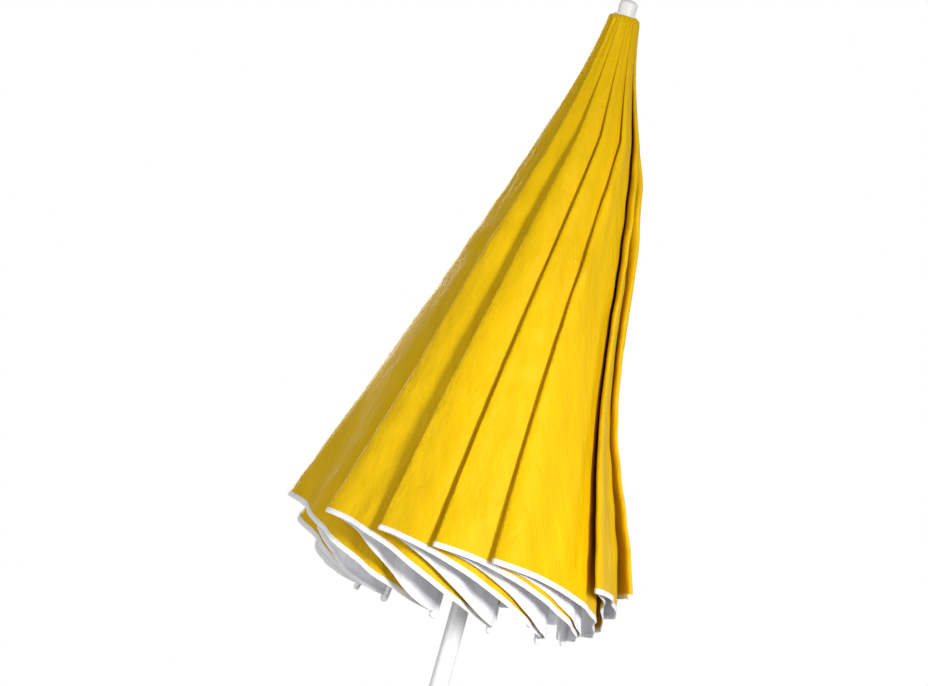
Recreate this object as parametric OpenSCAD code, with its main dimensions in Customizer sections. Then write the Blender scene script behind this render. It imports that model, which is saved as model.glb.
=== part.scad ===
// Beach umbrella, folded: twelve ribs and stretchers on a sliding runner, a wrapped fabric canopy in
// twelve gores, a tilting and telescoping pole with a pointed ground end. Millimetres, +Z up along the pole.
// The linkage is isosceles: every stretcher is as long as its rib's part above the joint, and the hub and
// runner carry their pins at one radius, so the runner stays on the pole's axis at every opening.

/* [Canopy] */
// Rib length from hub pin to tip
rib_length = 1000; // [900:10:1100]
// Angle of the folded ribs from the pole
folded_angle = 9; // [8:0.5:10]
// Angle of the folded cloth's outer edges from the pole
cloth_angle = 17.6; // [17:0.1:19]
// Depth of the scallop in each gore's hem, as a share of the rib
scallop = 0.075; // [0:0.005:0.08]

/* [Linkage] */
// Distance from hub pin to stretcher joint, which is also the stretcher's length
stretcher_length = 420; // [400:5:425]
// Radius of the circle of pins in the hub and in the runner
pin_circle_r = 19.5; // [19.5:0.1:20]
// Rib wire diameter
rib_wire_d = 3.5; // [3:0.1:3.6]
// Stretcher wire diameter
stretcher_wire_d = 3; // [2.6:0.1:3.2]

/* [Pole] */
// Height of the hub pins above the ground end's tip
hub_height = 2000; // [1980:10:2060]
// Upper pole diameter
pole_d = 30; // [29.6:0.1:30]
// Pole wall thickness
pole_wall = 1.2; // [1:0.1:1.5]
// Height of the tilt pin
tilt_height = 1080; // [1070:5:1085]
// Height of the lower pole's open end
socket_height = 750; // [700:10:780]
// Length of upper pole inside the lower pole
insertion = 260; // [240:10:320]

/* [Hidden] */
$fn = 48;
rib_count = 12;
rib_step = 360 / rib_count;
first_rib = -104; // direction of rib 1 about Z, from +X
// Angle that each gore's fold is swept past its outer root at the hem, one per gore
sweep = [74, 67, 77, 89, 102, 94, 86, 80, 72, 67, 67, 69];

pole_r = pole_d / 2;
eye_r = 3;
eye_bore_r = 1.25;
pin_r = 1.2;
eye_thickness = 3;
slot_width = 3.9;
eye_clearance = 0.3;
slot_floor_r = pin_circle_r - eye_r - eye_clearance;

hub_r = 23;
hub_height_above = 8;
hub_height_below = 7;
hub_plug_length = 30;
pole_top_gap = 0.2;

runner_r = 23;
runner_bore_r = pole_r + 0.3;
runner_above = 7;
runner_skirt = 26;
runner_z = hub_height - 2 * stretcher_length * cos(folded_angle);
button_r = 4;
button_drop = 14;
button_in_r = runner_bore_r + 2;
button_out_r = runner_r + 2.6;
button_clearance = 0.15;

fork_length = 36;
fork_gap = 4.4;
fork_plate = 1;
joint_boss_r = 3.2;
joint_boss_w = 4;

knuckle_r = 17.5;
cheek_r = 16.5;
tongue_w = 12;
knuckle_side_gap = 0.3;
knuckle_cut = 20; // clear height each side of the tilt pin
knuckle_sleeve = 24;
tilt_pin_r = 4;

lower_r = pole_r + 3;
lower_bore_r = pole_r + 0.4;
neck_r = lower_r - 0.8; // swaged top, inside the collar
spike_length = 150;
collar_r = 25;
collar_low = 42;
collar_top_lip = 10;
screw_r = 4;
screw_drop = 18;
knob_r = 15;
knob_start = 31;
knob_width = 14;

finial_r = 15.5;
finial_base_r = 20;
finial_height = 30;

cloth_start = 80;
cloth_hem = 994;
cloth_thickness = 0.5;
cloth_root_r = 22;
cloth_edge_r = 3;
cloth_root_angle = folded_angle + 0.3;
flare_over = 260; // distance over which the flare of the cloth settles
slack_loss = 0.36; // the cloth hangs closer on the +X side: share of the flare lost, and two soft waves there
slack_out = 3;
slack_in = 2.6;
twist = 8; // how much less a fold sweeps near the hub, and the share added for a wide sweep
twist_gain = 0.8;
twist_from = 200; // distance from the hub where the twist starts, and over which it settles
twist_over = 220;
u_steps = 8;
s_steps = 6;

function rib_name(k) = str(k < 9 ? "0" : "", k + 1);
function rib_turn(k) = first_rib + rib_step * k;

module tube(outer_r, inner_r, low, high) {
    translate([0, 0, low])
        difference() {
            cylinder(r = outer_r, h = high - low);
            translate([0, 0, -1]) cylinder(r = inner_r, h = high - low + 2);
        }
}

// A round bar across the radial plane, centred on it
module cross_bar(r, width) {
    rotate([90, 0, 0]) cylinder(r = r, h = width, center = true);
}

module around_ribs() {
    for (k = [0:rib_count - 1]) rotate([0, 0, rib_turn(k)]) children();
}

// The slot that takes one wire eye, open outwards, upwards and downwards
module eye_slot(low, high) {
    translate([slot_floor_r, -slot_width / 2, low]) cube([runner_r, slot_width, high - low]);
}

// ---- crown ----

module finial() {
    color("white")
        translate([0, 0, hub_height + hub_height_above])
            rotate_extrude() {
                square([finial_base_r, 4]);
                translate([0, 4]) square([finial_r, finial_height - 4 - finial_r / 2]);
                translate([0, finial_height - finial_r / 2])
                    scale([1, 0.5]) intersection() {
                        circle(r = finial_r);
                        square(finial_r);
                    }
            }
}

module hub() {
    color("white")
        difference() {
            union() {
                translate([0, 0, hub_height - hub_height_below])
                    cylinder(r = hub_r, h = hub_height_below + hub_height_above);
                translate([0, 0, hub_height - hub_height_below - hub_plug_length])
                    cylinder(r = pole_r - pole_wall, h = hub_plug_length + 1);
            }
            around_ribs() {
                translate([0, 0, hub_height]) eye_slot(-hub_height_below - 1, eye_r + 1.5);
                translate([pin_circle_r, 0, hub_height]) cross_bar(pin_r, 8);
            }
        }
}

module hub_pins() {
    color("silver")
        around_ribs() translate([pin_circle_r, 0, hub_height]) cross_bar(pin_r, 8);
}

// ---- ribs and stretchers ----

// A wire eye with its bore on the pin axis, at the origin
module wire_eye(wire_r) {
    difference() {
        union() {
            cross_bar(eye_r, eye_thickness);
            rotate([0, 180, 0]) translate([0, 0, 1.8]) cylinder(r = wire_r, h = 6);
        }
        cross_bar(eye_bore_r, eye_thickness + 2);
    }
}

module rib(k) {
    wire_r = rib_wire_d / 2;
    color("white")
        rotate([0, 0, rib_turn(k)])
            translate([pin_circle_r, 0, hub_height])
                rotate([0, -folded_angle, 0]) {
                    difference() {
                        union() {
                            wire_eye(wire_r);
                            translate([0, 0, -rib_length + 12]) cylinder(r = wire_r, h = rib_length - 16);
                            translate([0, 0, -stretcher_length]) cross_bar(joint_boss_r, joint_boss_w);
                        }
                        translate([0, 0, -stretcher_length]) cross_bar(eye_bore_r, 8);
                    }
                    rib_tip();
                }
}

// The plastic cap on the rib's end: a socket with a ball nose
module rib_tip() {
    tip_r = 3.2;
    translate([0, 0, -rib_length]) {
        cylinder(r = tip_r, h = 12);
        sphere(r = tip_r + 0.6);
    }
}

module stretcher(k) {
    wire_r = stretcher_wire_d / 2;
    color("silver")
        rotate([0, 0, rib_turn(k)])
            translate([pin_circle_r, 0, runner_z])
                rotate([0, folded_angle, 0]) {
                    rotate([0, 180, 0]) wire_eye(wire_r);
                    translate([0, 0, 5]) cylinder(r = wire_r, h = stretcher_length - fork_length - 3);
                    translate([0, 0, stretcher_length]) fork();
                }
}

// Two cheeks that straddle the rib, joined by a bridge below, with the rivet through them
module fork() {
    cheek_h = fork_length + 3;
    for (side = [-1, 1])
        translate([0, side * (fork_gap + fork_plate) / 2, 0]) {
            cross_bar(joint_boss_r, fork_plate);
            translate([-2, -fork_plate / 2, -cheek_h]) cube([4, fork_plate, cheek_h]);
        }
    translate([-2, -fork_gap / 2 - 0.1, -cheek_h]) cube([4, fork_gap + 0.2, 4]);
    cross_bar(pin_r, fork_gap + 2 * fork_plate + 1);
}

// ---- runner ----

module runner() {
    color("white")
        translate([0, 0, runner_z])
            difference() {
                union() {
                    translate([0, 0, -runner_skirt]) cylinder(r = runner_r - 3, h = runner_skirt);
                    translate([0, 0, -eye_r - 4]) cylinder(r = runner_r, h = runner_above + eye_r + 4);
                    translate([0, 0, -runner_skirt]) cylinder(r = runner_r, h = 4);
                }
                translate([0, 0, -runner_skirt - 1])
                    cylinder(r = runner_bore_r, h = runner_skirt + runner_above + 2);
                around_ribs() {
                    eye_slot(-eye_r - 1, runner_above + 1);
                    translate([pin_circle_r, 0, 0]) cross_bar(pin_r, 8);
                }
                translate([0, 0, -button_drop])
                    rotate([90, 0, 0]) cylinder(r = button_r + button_clearance, h = runner_r + 5);
            }
}

module runner_pins() {
    color("silver")
        around_ribs() translate([pin_circle_r, 0, runner_z]) cross_bar(pin_r, 8);
}

module runner_button() {
    color("lightgray")
        translate([0, -button_in_r, runner_z - button_drop])
            rotate([90, 0, 0]) cylinder(r = button_r, h = button_out_r - button_in_r);
}

// ---- pole ----

module upper_pole() {
    tongue_top = tilt_height + knuckle_cut + knuckle_sleeve;
    color("white") {
        tube(pole_r, pole_r - pole_wall, tongue_top - 8, hub_height - hub_height_below - pole_top_gap);
        difference() {
            union() {
                translate([0, 0, tilt_height + knuckle_cut + 1])
                    cylinder(r = knuckle_r - 2, h = knuckle_sleeve - 9);
                translate([0, 0, tilt_height]) cross_bar(cheek_r - 1, tongue_w);
                translate([1 - cheek_r, -tongue_w / 2, tilt_height])
                    cube([2 * cheek_r - 2, tongue_w, knuckle_cut + 2]);
            }
            translate([0, 0, tilt_height]) cross_bar(tilt_pin_r + 0.05, 40);
        }
    }
}

module tilt_pin() {
    color("silver")
        translate([0, 0, tilt_height]) {
            cross_bar(tilt_pin_r, 2 * knuckle_r - 2);
            for (side = [-1, 1]) translate([0, side * (knuckle_r + 0.2), 0]) cross_bar(tilt_pin_r + 2, 2.4);
        }
}

module middle_pole() {
    base = tilt_height - knuckle_cut - 1;
    color("white") {
        tube(pole_r, pole_r - pole_wall, socket_height - insertion, base - knuckle_sleeve + 6);
        difference() {
            union() {
                translate([0, 0, base - knuckle_sleeve + 6]) cylinder(r = knuckle_r, h = knuckle_sleeve - 6);
                for (side = [-1, 1]) {
                    low = tongue_w / 2 + knuckle_side_gap;
                    thick = knuckle_r - 1 - low;
                    translate([0, side * (low + thick / 2), tilt_height]) cross_bar(cheek_r, thick);
                    translate([-cheek_r, side > 0 ? low : -low - thick, base - 2])
                        cube([2 * cheek_r, thick, knuckle_cut + 3]);
                }
            }
            translate([0, 0, tilt_height]) cross_bar(tilt_pin_r, 50);
            translate([-50, -50, base - knuckle_sleeve - 20])
                difference() {
                    cube([100, 100, 90]);
                    translate([50, 50, -1]) cylinder(r = knuckle_r, h = 92);
                }
        }
    }
}

module lower_pole() {
    color("white")
        difference() {
            union() {
                cylinder(r1 = 2, r2 = lower_r, h = spike_length);
                translate([0, 0, spike_length])
                    cylinder(r = lower_r, h = socket_height - collar_low - spike_length);
                translate([0, 0, spike_length]) cylinder(r = neck_r, h = socket_height - spike_length);
            }
            translate([0, 0, spike_length + 20]) cylinder(r = lower_bore_r, h = socket_height);
            translate([0, 0, socket_height - screw_drop])
                rotate([90, 0, 0]) cylinder(r = screw_r + 0.05, h = 60);
        }
}

module clamp_collar() {
    top = socket_height + collar_top_lip;
    color("white")
        difference() {
            union() {
                translate([0, 0, socket_height - collar_low])
                    cylinder(r = collar_r - 3, h = collar_low + collar_top_lip);
                translate([0, 0, socket_height - screw_drop])
                    rotate([90, 0, 0]) cylinder(r = 9, h = knob_start - 2);
            }
            translate([0, 0, socket_height - collar_low - 1]) cylinder(r = neck_r, h = collar_low + 1);
            translate([0, 0, socket_height - 1]) cylinder(r = pole_r + 0.3, h = collar_top_lip + 2);
            translate([0, 0, socket_height - screw_drop])
                rotate([90, 0, 0]) cylinder(r = screw_r + 0.05, h = 60);
        }
}

module clamp_knob() {
    tip_gap = 0.25;
    lobes = 6;
    color("white")
        translate([0, 0, socket_height - screw_drop])
            rotate([90, 0, 0]) {
                translate([0, 0, pole_r + tip_gap]) cylinder(r = screw_r, h = knob_start - pole_r);
                difference() {
                    translate([0, 0, knob_start]) cylinder(r = knob_r, h = knob_width);
                    for (lobe = [0:lobes - 1])
                        rotate([0, 0, 360 / lobes * lobe])
                            translate([knob_r + 3, 0, knob_start - 1]) cylinder(r = 6, h = knob_width + 2);
                }
            }
}

// ---- canopy ----

function outer_rise(u) = 1 - pow(1 - u, 1.6);
function inner_rise(v) = 0.965 * pow(v, 0.68);
function hem_length(u) = cloth_hem * (1 - scallop * u * u * (3 - 2 * u));
function along(u, j) = cloth_start + (hem_length(u) - cloth_start) * j / s_steps;
// Share of a change that starts at one distance from the hub and settles over another
function settled(s, from, over) = 1 - exp(-max(s - from, 0) / over);
function by_hem(s, from, over) = settled(s, from, over) / settled(cloth_hem, from, over);
function soft_bump(s, middle, width) = exp(-pow((s - middle) / width, 2));
function slack(turn) = pow(max(cos(turn), 0), 1.5);
function flare_at(s, turn) =
    (cloth_angle - cloth_root_angle) * by_hem(s, 0, flare_over) * (1 - slack_loss * slack(turn))
    + slack(turn) * (slack_out * soft_bump(s, 200, 120) - slack_in * soft_bump(s, 620, 200));
function sweep_at(k, s) =
    sweep[k] - (twist + twist_gain * (sweep[k] - min(sweep))) * (1 - by_hem(s, twist_from, twist_over));

// A point of the cloth: direction about Z, distance from the hub, share of the flare and extra radius
function cloth_point(turn, s, rise, extra) =
    let (lean = cloth_root_angle + flare_at(s, turn) * rise, r = cloth_root_r + extra + s * sin(lean))
    [r * cos(turn), r * sin(turn), hub_height - s * cos(lean)];

function outer_point(k, u, j, skin) =
    let (s = along(u, j))
    cloth_point(rib_turn(k) - sweep_at(k, s) * u, s, outer_rise(u), cloth_edge_r * u + skin);

function inner_point(k, v, j, skin) =
    let (s = along(v, j))
    cloth_point(rib_turn(k - 1) - (sweep_at(k, s) - rib_step) * v * 0.985, s, inner_rise(v),
        1 + 1.4 * v + skin);

// A thin closed skin over a grid of points: the outside first, then the inside
module skin_solid(outside, inside) {
    rows = len(outside);
    cols = len(outside[0]);
    size = rows * cols;
    points = concat([for (row = outside) each row], [for (row = inside) each row]);
    function at(i, j) = i * cols + j;
    sheet_faces = [for (i = [0:rows - 2], j = [0:cols - 2])
        each [[at(i, j), at(i + 1, j), at(i + 1, j + 1)], [at(i, j), at(i + 1, j + 1), at(i, j + 1)]]];
    back_faces = [for (f = sheet_faces) [f[2] + size, f[1] + size, f[0] + size]];
    rim = concat(
        [for (j = [0:cols - 1]) at(0, j)],
        [for (i = [1:rows - 1]) at(i, cols - 1)],
        [for (j = [cols - 2:-1:0]) at(rows - 1, j)],
        [for (i = [rows - 2:-1:1]) at(i, 0)]
    );
    rim_faces = [for (m = [0:len(rim) - 1])
        let (a = rim[m], b = rim[(m + 1) % len(rim)])
        each [[a, b, b + size], [a, b + size, a + size]]];
    polyhedron(points = points, faces = concat(sheet_faces, back_faces, rim_faces));
}

module gore_outer(k) {
    half = cloth_thickness / 2;
    color("gold")
        skin_solid(
            [for (i = [0:u_steps]) [for (j = [0:s_steps]) outer_point(k, i / u_steps, j, half)]],
            [for (i = [0:u_steps]) [for (j = [0:s_steps]) outer_point(k, i / u_steps, j, -half)]]
        );
}

module gore_inner(k) {
    half = cloth_thickness / 2;
    color("gold")
        skin_solid(
            [for (i = [0:u_steps]) [for (j = [0:s_steps]) inner_point(k, i / u_steps, j, half)]],
            [for (i = [0:u_steps]) [for (j = [0:s_steps]) inner_point(k, i / u_steps, j, -half)]]
        );
}

finial();
hub();
hub_pins();
upper_pole();
tilt_pin();
middle_pole();
lower_pole();
clamp_collar();
clamp_knob();
runner();
runner_pins();
runner_button();
for (k = [0:rib_count - 1]) {
    rib(k);
    stretcher(k);
    gore_outer(k);
    gore_inner(k);
}
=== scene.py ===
"""Beach umbrella with a wrapped canopy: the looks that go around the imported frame. Metres, +Z up."""

import math

import bmesh
import bpy
import numpy as np
from mathutils import Matrix, Vector, noise

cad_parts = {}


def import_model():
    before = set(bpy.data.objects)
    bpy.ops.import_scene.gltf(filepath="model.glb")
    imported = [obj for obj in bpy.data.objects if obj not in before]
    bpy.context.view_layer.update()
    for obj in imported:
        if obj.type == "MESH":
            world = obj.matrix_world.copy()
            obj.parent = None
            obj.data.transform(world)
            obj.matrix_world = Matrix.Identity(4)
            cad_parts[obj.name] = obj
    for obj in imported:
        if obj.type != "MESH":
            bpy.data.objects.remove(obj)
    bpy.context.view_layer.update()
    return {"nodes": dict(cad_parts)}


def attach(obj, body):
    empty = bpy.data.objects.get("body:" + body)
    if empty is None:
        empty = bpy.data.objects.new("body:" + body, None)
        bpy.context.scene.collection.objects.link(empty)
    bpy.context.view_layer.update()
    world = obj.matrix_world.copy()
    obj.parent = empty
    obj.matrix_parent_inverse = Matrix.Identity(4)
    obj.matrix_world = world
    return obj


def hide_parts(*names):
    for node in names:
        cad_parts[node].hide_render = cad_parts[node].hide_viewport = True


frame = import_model()

# ---- the canopy's design values, the same as the frame's; angles in degrees ----

RIBS = 12
RIB_STEP = 360 / RIBS
FIRST_RIB = -104.0
SWEEP = [74, 67, 77, 89, 102, 94, 86, 80, 72, 67, 67, 69]
FOLDED_ANGLE = 9.0
PIN_CIRCLE_R = 0.0195
HUB_HEIGHT = 2.0
CLOTH_ANGLE = 17.6
ROOT_ANGLE = FOLDED_ANGLE + 0.3
ROOT_R = 0.022
HEM = 0.994
SCALLOP = 0.075
EDGE_R = 0.003
FLARE_OVER = 0.26
SLACK_LOSS = 0.36
SLACK_OUT = 3.0
SLACK_IN = 2.6
TWIST = 8.0
TWIST_GAIN = 0.8
TWIST_FROM = 0.2
TWIST_OVER = 0.22

# ---- how the visible cloth is made ----

# steps across a half gore and down it, columns that turn round its fold and how far out they reach, where
# the cloth starts, half its thickness, and the angle in radians from which an edge is a sharp rim
ACROSS = 36
DOWN = 110
CURL = 5
CURL_REACH = 1.1
CLOTH_START = -0.001
CLOTH_HALF = 0.0002
RIM_ANGLE = 1.0

# the outer half: how it bends away from its rib, and how far its fold stands proud, over this angle, and
# further where the cloth hangs slack
OUTER_BEND = 1.6
FOLD_LIFT = 0.006
FOLD_LIFT_OVER = 16.0
SLACK_LIFT = 0.0035

# the inner half: its share of the sweep and of the flare, its bend, its extra radius at the rib and what
# that gains by the fold, and how it is tucked in, over this angle
INNER_SWEEP = 0.985
INNER_RISE = 0.965
INNER_BEND = 0.68
INNER_OUT = 0.001
INNER_OUT_GAIN = 0.0014
TUCK = 0.0014
TUCK_OVER = 12

# heights of the relief, and the angle from the rib over which it grows
SOFT_WAVES = 0.0035
FLUTTER = 0.0065
FINE_FLUTTER = 0.003
TENSION = 0.0007
STREAKS = 0.0009
BROAD_CREASES = 0.002
FINE_CREASES = 0.0003
RIDGES = 0.0005
RELIEF_OVER = 18
PLEATS = 0.0011
PLEATS_OVER = 0.11

# the stretcher's joint, as a distance down the rib, and the swelling of the cloth over it
JOINT_AT = 0.42
JOINT_SWELL = 0.0045
JOINT_LENGTH = 0.035
JOINT_WIDTH = 7

# the seam along each rib: the width its stitches lie in, the height of its allowance's foot over the rib's
# line, which is more over the joint, the shift to its own side, and where the allowance's columns lie
SEAM_WIDTH = 0.007
SEAM_RISE = 0.0019
SEAM_RISE_AT_JOINT = 0.0017
SEAM_JOINT_LENGTH = 0.02
SEAM_GAP = 0.0005
SEAM_COLUMNS = (0.0, 0.35, 0.7)

# the hem tape: its nose past the hem, and its section on one side, as distance along the cloth and off it
TAPE_WIDTH = 0.0075
TAPE_HALF = 0.0009
TAPE_NOSE = 0.0009
TAPE_SIDE = [(-TAPE_WIDTH, 0.0002), (-TAPE_WIDTH, TAPE_HALF), (-0.0012, TAPE_HALF),
             (0.0002, TAPE_HALF * 0.8)]

# the gathered crown: radius and height over the hub, the first steps lying flat under the finial
CROWN_PROFILE = [(0.0192, 0.0084), (0.0222, 0.0086), (0.0238, 0.0078), (0.0247, 0.0058), (0.0251, 0.004),
                 (0.0254, 0.0024), (0.0256, 0.001)]
CROWN_FLAT_STEPS = 2
CROWN_HALF = 0.0003
CROWN_PLEAT = 0.0005
CROWN_FINE_PLEAT = 0.0004
CROWN_TURNS = 288

# sleeves and pockets on the ribs: a sleeve's spans and its half width, which grows down the rib, and a
# pocket's rings of distance down the rib, half width and half depth
AROUND = 20
SLEEVE_SPANS = ((0.034, 0.394), (0.446, 0.958))
SLEEVE_RINGS = 24
SLEEVE_HALF_WIDTH = 0.0026
SLEEVE_WIDENING = 0.0042
SLEEVE_END_TAPER = 0.0004
SLEEVE_HALF_DEPTH = 0.0021
POCKET_RINGS = [(0.9625, 0.0052, 0.0038), (0.962, 0.0062, 0.0046), (0.966, 0.0068, 0.0048),
                (0.985, 0.0072, 0.005), (0.999, 0.0068, 0.0049), (1.0035, 0.0048, 0.0038),
                (1.0048, 0.0018, 0.0016)]

# ---- stage, lights and camera ----

FLOOR_RADIUS = 3.2
FLOOR_DROP = 0.0005
WORLD_STRENGTH = 0.32

# name, place, target, size, power in watts and spread in degrees
LIGHTS = (
    ("key", (1.7, -3.0, 1.9), (0.12, 0, 1.08), (0.6, 0.9), 11.5, 52),
    ("fill", (-2.9, -2.3, 1.5), (0, 0, 1.3), (1.6, 2.0), 40, 180),
    ("rim", (-1.3, 2.9, 2.0), (0, 0, 1.4), (1.5, 2.0), 40, 180),
)

AIM = Vector((-0.109, 0, 1.432))
DISTANCE = 4.0
ELEVATION = math.radians(-1.0)
ROLL = math.radians(15.6)
VIEW_WIDTH = 1.497
SENSOR = 36.0


# ---- the canopy's form; turns in degrees round +Z, s is the distance from the hub down the cloth ----


def rib_name(k):
    return f"{k % RIBS + 1:02d}"


def rib_turn(k):
    return FIRST_RIB + RIB_STEP * k


def rib_axes(k):
    """A folded rib's hinge, and its directions down the rib, sideways and outwards."""
    turn = math.radians(rib_turn(k))
    lean = math.radians(FOLDED_ANGLE)
    radial = Vector((math.cos(turn), math.sin(turn), 0))
    side = Vector((-math.sin(turn), math.cos(turn), 0))
    down = radial * math.sin(lean) - Vector((0, 0, math.cos(lean)))
    out = radial * math.cos(lean) + Vector((0, 0, math.sin(lean)))
    return radial * PIN_CIRCLE_R + Vector((0, 0, HUB_HEIGHT)), down, side, out


def settled(s, start, over):
    return 1 - np.exp(-np.maximum(s - start, 0) / over)


def by_hem(s, start, over):
    """Grows from 0 at the start to 1 at the hem, and settles over a distance."""
    return settled(s, start, over) / settled(HEM, start, over)


def smooth(x):
    x = np.clip(x, 0, 1)
    return x * x * (3 - 2 * x)


def soft_bump(x, middle, width):
    return np.exp(-(((x - middle) / width) ** 2))


def sweep_at(k, s):
    """How far an outer half reaches round from its rib."""
    less = TWIST + TWIST_GAIN * (SWEEP[k] - min(SWEEP))
    return SWEEP[k] - less * (1 - by_hem(s, TWIST_FROM, TWIST_OVER))


def hem_length(u):
    """The cloth's length at a share of the way from its rib to its fold."""
    return HEM * (1 - SCALLOP * u * u * (3 - 2 * u))


def flare_at(s, turn):
    """How far a fold leans out past the ribs: less on the +X side, where the cloth hangs slack."""
    slack = np.maximum(np.cos(np.radians(turn)), 0) ** 1.5
    flare = (CLOTH_ANGLE - ROOT_ANGLE) * by_hem(s, 0, FLARE_OVER) * (1 - SLACK_LOSS * slack)
    return flare + slack * (SLACK_OUT * soft_bump(s, 0.2, 0.12) - SLACK_IN * soft_bump(s, 0.62, 0.2))


def cloth_point(turn, s, rise, extra):
    """The point at a turn and a distance from the hub, for a share of the flare and some extra radius."""
    lean = np.radians(ROOT_ANGLE + flare_at(s, turn) * rise)
    angle = np.radians(turn)
    r = ROOT_R + extra + s * np.sin(lean)
    return np.stack([r * np.cos(angle), r * np.sin(angle), HUB_HEIGHT - s * np.cos(lean)], axis=-1)


# ---- the cloth's relief ----


def ripples(turn, s):
    """Radial relief that every layer shares, so that nested layers stay apart."""
    a = np.radians(turn)
    near_hem = smooth((s - 0.5) / 0.5) ** 1.5
    middle = smooth((s - 0.1) / 0.25)
    soft = SOFT_WAVES * middle * np.sin(7 * a + 4 * s + 0.8 * np.sin(3 * a))
    flutter = near_hem * (FLUTTER * np.sin(11 * a + 1.3 * np.sin(4 * a) - 3 * s)
                          + FINE_FLUTTER * np.sin(23 * a + 9 * s))
    tension_patches = 0.5 + 0.5 * np.sin(3 * a + 11 * s)
    tension = TENSION * middle * np.sin(95 * s + 6 * a + 2 * np.sin(5 * a)) * tension_patches
    streak_patches = 0.6 + 0.4 * np.sin(2 * a + 7 * s)
    streaks = STREAKS * middle * np.sin(31 * a + 3 * np.sin(5 * a) + 5 * s) * streak_patches
    return soft + flutter + tension + streaks


def joint_swell(turn, s):
    """The cloth stands out a little over each stretcher's joint on its rib."""
    off_rib = (turn - FIRST_RIB + RIB_STEP / 2) % RIB_STEP - RIB_STEP / 2
    return JOINT_SWELL * soft_bump(s, JOINT_AT, JOINT_LENGTH) * soft_bump(off_rib, 0, JOINT_WIDTH)


def gathers(turn, s):
    """Pleats under the crown, which stand out from the ribs."""
    a = np.radians(turn)
    pleats = 1 + np.sin(19 * a + 2.2 * np.sin(5 * a) + 9 * s)
    return PLEATS * np.exp(-np.maximum(s, 0) / PLEATS_OVER) * pleats


def crumple(grid):
    """Small creases from solid noise, one value per point, longer down the cloth than across it."""
    out = np.zeros(grid.shape[:-1])
    for i in np.ndindex(out.shape):
        x, y, z = Vector(grid[i])
        broad = noise.noise(Vector((x * 16, y * 16, z * 7)))
        fine = noise.noise(Vector((x * 55, y * 55, z * 26 + 5)))
        ridge = 1 - abs(noise.noise(Vector((x * 30 + 9, y * 30, z * 12)))) * 2.4
        out[i] = BROAD_CREASES * broad + FINE_CREASES * fine + RIDGES * max(ridge, 0) ** 3
    return out


def shaped(turn, s, rise, extra, from_rib):
    """The cloth's middle surface with its relief, which fades out towards the rib it is sewn to."""
    creases = crumple(cloth_point(turn, s, 1, 0)) * smooth(s / 0.3)
    relief = (ripples(turn, s) + creases) * smooth(from_rib / RELIEF_OVER)
    return cloth_point(turn, s, rise, extra + relief + gathers(turn, s) + joint_swell(turn, s))


# ---- grids of points, column by column from the rib to the fold ----


def cloth_parameters():
    """Shares across the half gore and distances down it."""
    u = np.linspace(0, 1, ACROSS + 1)[:, None] * np.ones((1, DOWN + 1))
    share = np.linspace(0, 1, DOWN + 1)[None, :]
    return u, CLOTH_START + (hem_length(u) - CLOTH_START) * share


def outer_grid(k, u, s):
    """The outer half, whose fold stands proud of the layer below it."""
    from_rib = sweep_at(k, s) * u
    from_fold = sweep_at(k, s) * (1 - u)
    slack = np.maximum(np.cos(np.radians(rib_turn(k) - from_rib)), 0)
    lift = FOLD_LIFT * smooth(s / 0.35) + SLACK_LIFT * slack * soft_bump(s, 0.3, 0.18)
    proud = lift * (1 - smooth(from_fold / FOLD_LIFT_OVER))
    return shaped(rib_turn(k) - from_rib, s, 1 - (1 - u) ** OUTER_BEND, EDGE_R * u + proud, from_rib)


def inner_grid(k, u, s):
    """The inner half, tucked a little further in than its even spacing."""
    from_rib = (sweep_at(k, s) - RIB_STEP) * u * INNER_SWEEP
    extra = INNER_OUT + INNER_OUT_GAIN * u - TUCK * smooth(from_rib / TUCK_OVER)
    return shaped(rib_turn(k - 1) - from_rib, s, INNER_RISE * u**INNER_BEND, extra, from_rib)


def seam_allowance(rib, root, s, beside):
    """Columns of cloth that turn down from a half gore's root to the sleeve round its rib."""
    hinge, down, side, out = (np.array(v) for v in rib_axes(rib))
    rise = SEAM_RISE + SEAM_RISE_AT_JOINT * soft_bump(s, JOINT_AT, SEAM_JOINT_LENGTH)
    foot = hinge + down * s[:, None] + out * rise[:, None] + side * beside
    top = root + side * beside
    return np.stack([foot + (top - foot) * share for share in SEAM_COLUMNS])


def curled(edge, back, ahead):
    """Columns that turn round the fold, from the outer half's edge to the inner half's edge."""
    middle = (edge + back) / 2
    arm = (edge - back) / 2
    reach = np.linalg.norm(arm, axis=-1, keepdims=True) * CURL_REACH
    angles = [math.pi * i / CURL for i in range(1, CURL + 1)]
    return np.stack([middle + arm * math.cos(a) + ahead * reach * math.sin(a) for a in angles])


def unit(v):
    return v / np.maximum(np.linalg.norm(v, axis=-1, keepdims=True), 1e-12)


def normals_of(grid):
    return unit(np.cross(np.gradient(grid, axis=1), np.gradient(grid, axis=0)))


def measured_uv(grid, s):
    """Distance from the first column and distance from the hub, in metres."""
    step = np.linalg.norm(np.diff(grid, axis=0), axis=-1)
    across = np.concatenate([np.zeros((1, grid.shape[1])), np.cumsum(step, axis=0)])
    return np.stack([across.ravel(), s.ravel()], axis=1)


# ---- meshes ----


def turn_outwards(mesh):
    """Turns a closed mesh's faces outwards, and keeps its rims sharp."""
    work = bmesh.new()
    work.from_mesh(mesh)
    bmesh.ops.recalc_face_normals(work, faces=work.faces)
    for edge in work.edges:
        if len(edge.link_faces) == 2 and edge.calc_face_angle(0) > RIM_ANGLE:
            edge.smooth = False
    work.to_mesh(mesh)
    work.free()


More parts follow.
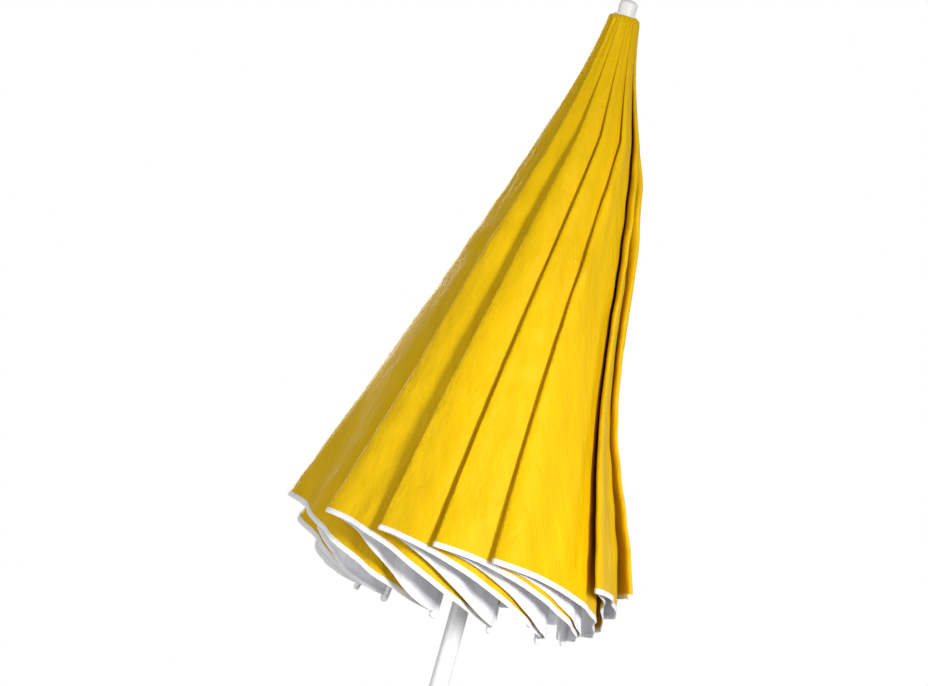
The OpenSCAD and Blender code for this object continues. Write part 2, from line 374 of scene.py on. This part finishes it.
def new_piece(name, points, faces, materials, body, uv, face_slots=None):
    """A smooth closed mesh that rides a body."""
    mesh = bpy.data.meshes.new(name)
    mesh.from_pydata([tuple(p) for p in points], [], [tuple(f) for f in faces])
    for material in materials:
        mesh.materials.append(material)
    if face_slots is not None:
        mesh.polygons.foreach_set("material_index", np.asarray(face_slots, dtype=np.int32))
    mesh.polygons.foreach_set("use_smooth", np.full(len(mesh.polygons), True))
    layer = mesh.uv_layers.new(name="cloth")
    corners = np.zeros(len(mesh.loops), dtype=np.int32)
    mesh.loops.foreach_get("vertex_index", corners)
    layer.data.foreach_set("uv", np.asarray(uv)[corners].ravel())
    mesh.update()
    turn_outwards(mesh)
    piece = bpy.data.objects.new(name, mesh)
    bpy.context.scene.collection.objects.link(piece)
    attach(piece, body)
    return piece


def cloth_sheet(name, grid, s, body, lining_out):
    """A closed sheet of cloth around a grid of points, with the yellow side or the lining side outwards."""
    rows, cols = grid.shape[:2]
    normal = normals_of(grid)
    if np.mean(np.sum(normal[..., :2] * grid[..., :2], axis=-1)) < 0:
        normal = -normal
    points = np.concatenate([(grid + normal * CLOTH_HALF).reshape(-1, 3),
                             (grid - normal * CLOTH_HALF).reshape(-1, 3)])
    count = rows * cols
    index = np.arange(count).reshape(rows, cols)
    corners = [index[:-1, :-1], index[1:, :-1], index[1:, 1:], index[:-1, 1:]]
    top = np.stack([c.ravel() for c in corners], axis=1)
    bottom = top[:, ::-1] + count
    rim = np.concatenate([index[0, :], index[1:, -1], index[-1, -2::-1], index[-2:0:-1, 0]])
    after = np.roll(rim, -1)
    side = np.stack([rim, after, after + count, rim + count], axis=1)
    face_slots = [int(lining_out)] * len(top) + [int(not lining_out)] * len(bottom) + [0] * len(side)
    uv = measured_uv(grid, s)
    return new_piece(name, points, np.concatenate([top, bottom, side]), [YELLOW, LINING], body,
                     np.concatenate([uv, uv]), face_slots)


def ring_faces(rings, around, start=0):
    """Faces of a closed tube of rings, each with the same number of points."""
    faces = []
    for r in range(start, start + (rings - 1) * around, around):
        for i in range(around):
            j = (i + 1) % around
            faces.append((r + i, r + j, r + around + j, r + around + i))
    last = start + (rings - 1) * around
    faces.append(tuple(range(start + around - 1, start - 1, -1)))
    faces.append(tuple(range(last, last + around)))
    return faces


def hem_tape(name, grid, body):
    """The binding folded over the hem: a flat tube of cross-sections that follows the sheet's last rows."""
    normal = normals_of(grid)[:, -1]
    end = grid[:, -1]
    down = unit(grid[:, -1] - grid[:, -3])
    section = TAPE_SIDE + [(TAPE_NOSE, 0.0)] + [(along, -off) for along, off in reversed(TAPE_SIDE)]
    points = np.stack([end + down * along + normal * off for along, off in section], axis=1)
    length = np.concatenate([[0], np.cumsum(np.linalg.norm(np.diff(end, axis=0), axis=1))])
    across = [along for along, _ in section]
    uv = np.stack([np.repeat(length, len(section)), np.tile(across, len(end))], axis=1)
    faces = ring_faces(len(end), len(section))
    return new_piece(name, points.reshape(-1, 3), faces, [TAPE], body, uv)


def oval_points(k, rings):
    """Points of oval rings round a rib."""
    hinge, down, side, out = rib_axes(k)
    turns = [2 * math.pi * i / AROUND for i in range(AROUND)]
    return [hinge + down * s + side * wide * math.cos(a) + out * deep * math.sin(a)
            for s, wide, deep in rings for a in turns]


# ---- materials ----


class Nodes:
    """Short calls for building a material's node tree."""

    def __init__(self, name):
        self.material = bpy.data.materials.new(name)
        self.material.use_nodes = True
        self.tree = self.material.node_tree
        self.shader = self.tree.nodes["Principled BSDF"]

    def add(self, kind, inputs=None, **settings):
        node = self.tree.nodes.new(kind)
        for key, value in settings.items():
            setattr(node, key, value)
        for key, value in (inputs or {}).items():
            if isinstance(value, bpy.types.NodeSocket):
                self.tree.links.new(value, node.inputs[key])
            else:
                node.inputs[key].default_value = value
        return node

    def place(self):
        return self.add("ShaderNodeTexCoord").outputs["Object"]

    def uv(self):
        return self.add("ShaderNodeTexCoord").outputs["UV"]

    def axes(self, vector):
        return self.add("ShaderNodeSeparateXYZ", {0: vector}).outputs

    def stretched(self, vector, scale):
        return self.add("ShaderNodeMapping", {"Vector": vector, "Scale": scale}).outputs[0]

    def math(self, operation, a, b=0.0):
        return self.add("ShaderNodeMath", {0: a, 1: b}, operation=operation).outputs[0]

    def noise(self, vector, scale, detail, rough=0.5):
        inputs = {"Vector": vector, "Scale": scale, "Detail": detail, "Roughness": rough}
        return self.add("ShaderNodeTexNoise", inputs).outputs["Fac"]

    def ramp(self, value, low, high, start=0.0, end=1.0):
        node = self.add("ShaderNodeValToRGB", {"Fac": value})
        for element, position, colour in zip(node.color_ramp.elements, (start, end), (low, high)):
            element.position = position
            element.color = (*colour, 1)
        return node.outputs["Color"]

    def between(self, value, low, high):
        return self.ramp(value, (low,) * 3, (high,) * 3)

    def tint(self, share, colour, other):
        inputs = {"Fac": share, "Color1": colour, "Color2": (*other, 1)}
        return self.add("ShaderNodeMixRGB", inputs).outputs[0]

    def bump(self, height, distance, strength, normal=None):
        inputs = {"Height": height, "Distance": distance, "Strength": strength}
        if normal is not None:
            inputs["Normal"] = normal
        return self.add("ShaderNodeBump", inputs).outputs[0]

    def link(self, socket, name):
        self.tree.links.new(socket, self.shader.inputs[name])

    def set(self, **values):
        for key, value in values.items():
            self.shader.inputs[key.replace("_", " ")].default_value = value
        return self.material


def weave(n, uv, pitch):
    """Height of a plain weave: two crossing sets of threads."""
    across, along, _ = n.axes(n.stretched(uv, (1 / pitch, 1 / pitch, 1)))
    warp = n.math("SINE", n.math("MULTIPLY", across, 2 * math.pi))
    weft = n.math("SINE", n.math("MULTIPLY", along, 2 * math.pi))
    return n.math("MULTIPLY", warp, weft)


def stitches(n, uv, axis, offset, pitch, half_width):
    """A dashed line of thread at one offset along an axis of the cloth's own coordinates."""
    coordinates = n.axes(uv)
    off_line = n.math("ABSOLUTE", n.math("SUBTRACT", coordinates[axis], offset))
    along = n.math("FRACT", n.math("DIVIDE", coordinates[1 - axis], pitch))
    return n.math("MULTIPLY", n.math("LESS_THAN", off_line, half_width), n.math("LESS_THAN", along, 0.66))


def fabric(name, light, dark, rough, gloss):
    """Woven cloth with faint clouds and streaks, small creases, and a line of stitches beside its seam."""
    n = Nodes(name)
    place = n.place()
    uv = n.uv()
    cloud = n.noise(place, 7.0, 5.0, 0.6)
    streak = n.noise(n.stretched(uv, (60.0, 5.0, 1.0)), 1.0, 3.0, 0.6)
    thread = n.noise(n.stretched(uv, (900.0, 60.0, 1.0)), 1.0, 2.0)
    mix = n.math("ADD", n.math("MULTIPLY", cloud, 0.55), n.math("MULTIPLY", streak, 0.45))
    seam = stitches(n, uv, 0, SEAM_WIDTH * 0.6, 0.0042, 0.00045)
    colour = n.ramp(mix, dark, light, 0.3, 0.68)
    n.link(n.tint(n.math("MULTIPLY", seam, 0.6), colour, [c * 0.72 for c in light]), "Base Color")
    n.link(n.between(cloud, rough - 0.05, rough + 0.06), "Roughness")
    creases = n.noise(n.stretched(place, (26.0, 26.0, 9.0)), 1.0, 5.0, 0.62)
    normal = n.bump(creases, 0.008, 0.7)
    normal = n.bump(thread, 0.0003, 0.35, normal)
    normal = n.bump(weave(n, uv, 0.0011), 0.00012, 0.35, normal)
    n.link(n.bump(seam, 0.0005, 0.8, normal), "Normal")
    return n.set(IOR=1.38, Specular_IOR_Level=0.5, Specular_Tint=(*gloss, 1))


def tape_fabric():
    n = Nodes("hem tape")
    uv = n.uv()
    soil = n.noise(n.place(), 18.0, 4.0)
    ribbing = n.noise(n.stretched(uv, (1400.0, 90.0, 1.0)), 1.0, 2.0)
    thread = stitches(n, uv, 1, -TAPE_WIDTH * 0.72, 0.0036, 0.0004)
    colour = n.ramp(soil, (0.78, 0.78, 0.8), (0.9, 0.9, 0.92), 0.3, 0.7)
    n.link(n.tint(n.math("MULTIPLY", thread, 0.35), colour, (0.62, 0.62, 0.64)), "Base Color")
    n.link(n.bump(thread, 0.0005, 0.9, n.bump(ribbing, 0.0003, 0.5)), "Normal")
    return n.set(Roughness=0.62, Sheen_Weight=0.15)


def painted_steel():
    n = Nodes("painted steel")
    place = n.place()
    n.link(n.ramp(n.noise(place, 9.0, 4.0), (0.84, 0.84, 0.85), (0.9, 0.9, 0.9), 0.3, 0.7), "Base Color")
    n.link(n.between(n.noise(place, 40.0, 3.0), 0.24, 0.36), "Roughness")
    n.link(n.bump(n.noise(place, 900.0, 2.0), 0.0002, 0.25), "Normal")
    return n.set(Coat_Weight=0.3, Coat_Roughness=0.12)


def moulded_plastic():
    n = Nodes("moulded plastic")
    place = n.place()
    n.link(n.ramp(n.noise(place, 14.0, 4.0), (0.85, 0.83, 0.79), (0.9, 0.89, 0.87), 0.3, 0.7), "Base Color")
    n.link(n.between(n.noise(place, 60.0, 3.0), 0.34, 0.46), "Roughness")
    n.link(n.bump(n.noise(place, 1500.0, 2.0), 0.0001, 0.3), "Normal")
    return n.set(Subsurface_Weight=0.08, Subsurface_Scale=0.004)


def zinc_steel():
    n = Nodes("zinc steel")
    place = n.place()
    drawn = n.noise(n.stretched(place, (900.0, 900.0, 30.0)), 1.0, 3.0)
    n.link(n.ramp(n.noise(place, 30.0, 4.0), (0.56, 0.57, 0.6), (0.74, 0.74, 0.76), 0.3, 0.7), "Base Color")
    n.link(n.between(drawn, 0.22, 0.4), "Roughness")
    n.link(n.bump(drawn, 0.0001, 0.4), "Normal")
    return n.set(Metallic=1.0)


YELLOW = fabric("canopy fabric", light=(0.8, 0.5, 0.002), dark=(0.66, 0.4, 0.0015), rough=0.4,
                gloss=(1.0, 0.8, 0.25))
LINING = fabric("canopy lining", light=(0.9, 0.9, 0.92), dark=(0.85, 0.85, 0.87), rough=0.45,
                gloss=(1.0, 1.0, 1.0))
TAPE = tape_fabric()
STEEL = painted_steel()
PLASTIC = moulded_plastic()
ZINC = zinc_steel()

PLASTIC_NODES = ("finial", "hub", "clamp_collar", "clamp_knob", "runner", "runner_button")
ZINC_NODES = ("hub_pins", "runner_pins", "tilt_pin", "stretcher")

# ---- the pieces ----


def finish_nodes():
    """The CAD nodes keep their shapes and get real finishes."""
    for name, node in frame["nodes"].items():
        material = STEEL
        if name.startswith(ZINC_NODES):
            material = ZINC
        if name in PLASTIC_NODES:
            material = PLASTIC
        for held in node.material_slots:
            held.material = material


def half_gore(k, side):
    """One half of a gore, sewn to a rib, with its hem tape. The outer half turns round the fold."""
    outer = side == "outer"
    sewn_to = k if outer else k - 1
    u, s = cloth_parameters()
    half = outer_grid(k, u, s) if outer else inner_grid(k, u, s)
    allowance = seam_allowance(sewn_to, half[0], s[0], -SEAM_GAP if outer else SEAM_GAP)
    grid = np.concatenate([allowance, half])
    s = np.concatenate([np.repeat(s[:1], len(allowance), axis=0), s])
    if outer:
        back = inner_grid(k, u[-1:], s[-1:])[0]
        grid = np.concatenate([grid, curled(half[-1], back, unit(half[-1] - half[-2]))])
        s = np.concatenate([s, np.repeat(s[-1:], CURL, axis=0)])
    body = f"gore_{side}_{rib_name(k)}"
    cloth = cloth_sheet(f"canopy_{side}_{rib_name(k)}", grid, s, body, lining_out=not outer)
    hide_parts(body)
    tape = hem_tape(f"hem_tape_{side}_{rib_name(k)}", grid, body)


def crown_point(turn, step, skin):
    """A point of the gathers; the cloth's thickness stands up where it lies flat, and outwards below that."""
    r, z = CROWN_PROFILE[step]
    pleat = CROWN_PLEAT * math.sin(36 * turn) + CROWN_FINE_PLEAT * math.sin(60 * turn + 1)
    pleat *= min(step / 3, 1)
    lift, out = (skin, 0) if step < CROWN_FLAT_STEPS else (0, skin)
    r = r + pleat + out
    return r * math.cos(turn), r * math.sin(turn), HUB_HEIGHT + z + lift


def crown_collar():
    """The gathered top of the canopy, clamped between the hub and the finial."""
    n = len(CROWN_PROFILE)
    size = CROWN_TURNS * n
    turns = [2 * math.pi * i / CROWN_TURNS for i in range(CROWN_TURNS)]
    points = [crown_point(turn, step, skin) for skin in (CROWN_HALF, -CROWN_HALF) for turn in turns
              for step in range(n)]
    faces, face_slots = [], []
    for i in range(CROWN_TURNS):
        here, after = i * n, (i + 1) % CROWN_TURNS * n
        for m in range(n - 1):
            face = (here + m, after + m, after + m + 1, here + m + 1)
            faces += [face, tuple(size + corner for corner in reversed(face))]
            face_slots += [0, 1]
        for m in (0, n - 1):
            faces.append((here + m, after + m, size + after + m, size + here + m))
            face_slots.append(0)
    uv = [(0.02 * (i // n) / CROWN_TURNS + 0.05, 0.01 * (i % n)) for i in range(size)] * 2
    new_piece("crown_gathers", points, faces, [YELLOW, LINING], "head", uv, face_slots)


def rib_pocket(k):
    """The small sewn pocket that the rib's end sits in."""
    points = oval_points(k, POCKET_RINGS)
    faces = ring_faces(len(POCKET_RINGS), AROUND)
    uv = [(0.002 * (i % AROUND), 0.01 * (i // AROUND)) for i in range(len(points))]
    new_piece(f"rib_pocket_{rib_name(k)}", points, faces, [TAPE], f"rib_{rib_name(k)}", uv)


def rib_sleeve(k):
    """The sleeve sewn along the seam, which the rib runs in, with a gap at the stretcher's joint."""
    points, faces = [], []
    for low, high in SLEEVE_SPANS:
        rings = []
        for s in np.linspace(low, high, SLEEVE_RINGS).tolist():
            at_end = min(s - low, high - s) < 0.001
            wide = SLEEVE_HALF_WIDTH + SLEEVE_WIDENING * s - SLEEVE_END_TAPER * at_end
            rings.append((s, wide, SLEEVE_HALF_DEPTH))
        faces += ring_faces(len(rings), AROUND, len(points))
        points += oval_points(k, rings)
    uv = [(0.0006 * (i % AROUND), 0.02 * (i // AROUND)) for i in range(len(points))]
    inner_side = [int(len(f) == 4 and f[0] % AROUND >= AROUND // 2) for f in faces]
    new_piece(f"rib_sleeve_{rib_name(k)}", points, faces, [YELLOW, LINING], f"rib_{rib_name(k)}",
              uv, inner_side)


# ---- the stage ----


def floor():
    bpy.ops.mesh.primitive_circle_add(vertices=96, radius=FLOOR_RADIUS, fill_type="NGON",
                                      location=(0, 0, -FLOOR_DROP))
    ground = bpy.context.object
    ground.name = "floor"
    ground.data.materials.append(Nodes("pale floor").set(Base_Color=(0.86, 0.86, 0.86, 1), Roughness=0.8))


def world():
    """Soft even light, and plain white where the camera sees past the object."""
    studio = bpy.data.worlds.new("studio")
    bpy.context.scene.world = studio
    studio.use_nodes = True
    tree = studio.node_tree
    shade = tree.nodes["Background"]
    shade.inputs["Strength"].default_value = WORLD_STRENGTH
    white = tree.nodes.new("ShaderNodeBackground")
    for background in (shade, white):
        background.inputs["Color"].default_value = (1, 1, 1, 1)
    path = tree.nodes.new("ShaderNodeLightPath")
    mix = tree.nodes.new("ShaderNodeMixShader")
    tree.links.new(path.outputs["Is Camera Ray"], mix.inputs[0])
    tree.links.new(shade.outputs[0], mix.inputs[1])
    tree.links.new(white.outputs[0], mix.inputs[2])
    tree.links.new(mix.outputs[0], tree.nodes["World Output"].inputs["Surface"])


def area_light(name, place, target, size, power, spread):
    data = bpy.data.lights.new(name, "AREA")
    data.shape = "RECTANGLE"
    data.size, data.size_y = size
    data.energy = power
    data.spread = math.radians(spread)
    lamp = bpy.data.objects.new(name, data)
    bpy.context.scene.collection.objects.link(lamp)
    lamp.location = place
    lamp.rotation_euler = (Vector(target) - Vector(place)).to_track_quat("-Z", "Y").to_euler()


def camera():
    data = bpy.data.cameras.new("photo")
    data.sensor_width = SENSOR
    data.lens = SENSOR * DISTANCE / VIEW_WIDTH
    body = bpy.data.objects.new("photo", data)
    bpy.context.scene.collection.objects.link(body)
    back = Vector((0, -math.cos(ELEVATION), math.sin(ELEVATION)))
    up = Vector((-math.sin(ROLL), 0, math.cos(ROLL)))
    up = (up - back * up.dot(back)).normalized()
    right = up.cross(back)
    body.location = AIM + back * DISTANCE
    body.rotation_euler = Matrix((right, up, back)).transposed().to_euler()
    bpy.context.scene.camera = body


finish_nodes()
for gore in range(RIBS):
    half_gore(gore, "outer")
    half_gore(gore, "inner")
    rib_pocket(gore)
    rib_sleeve(gore)
crown_collar()
floor()
world()
for light in LIGHTS:
    area_light(*light)
camera()
bpy.context.scene.view_settings.view_transform = "Standard"
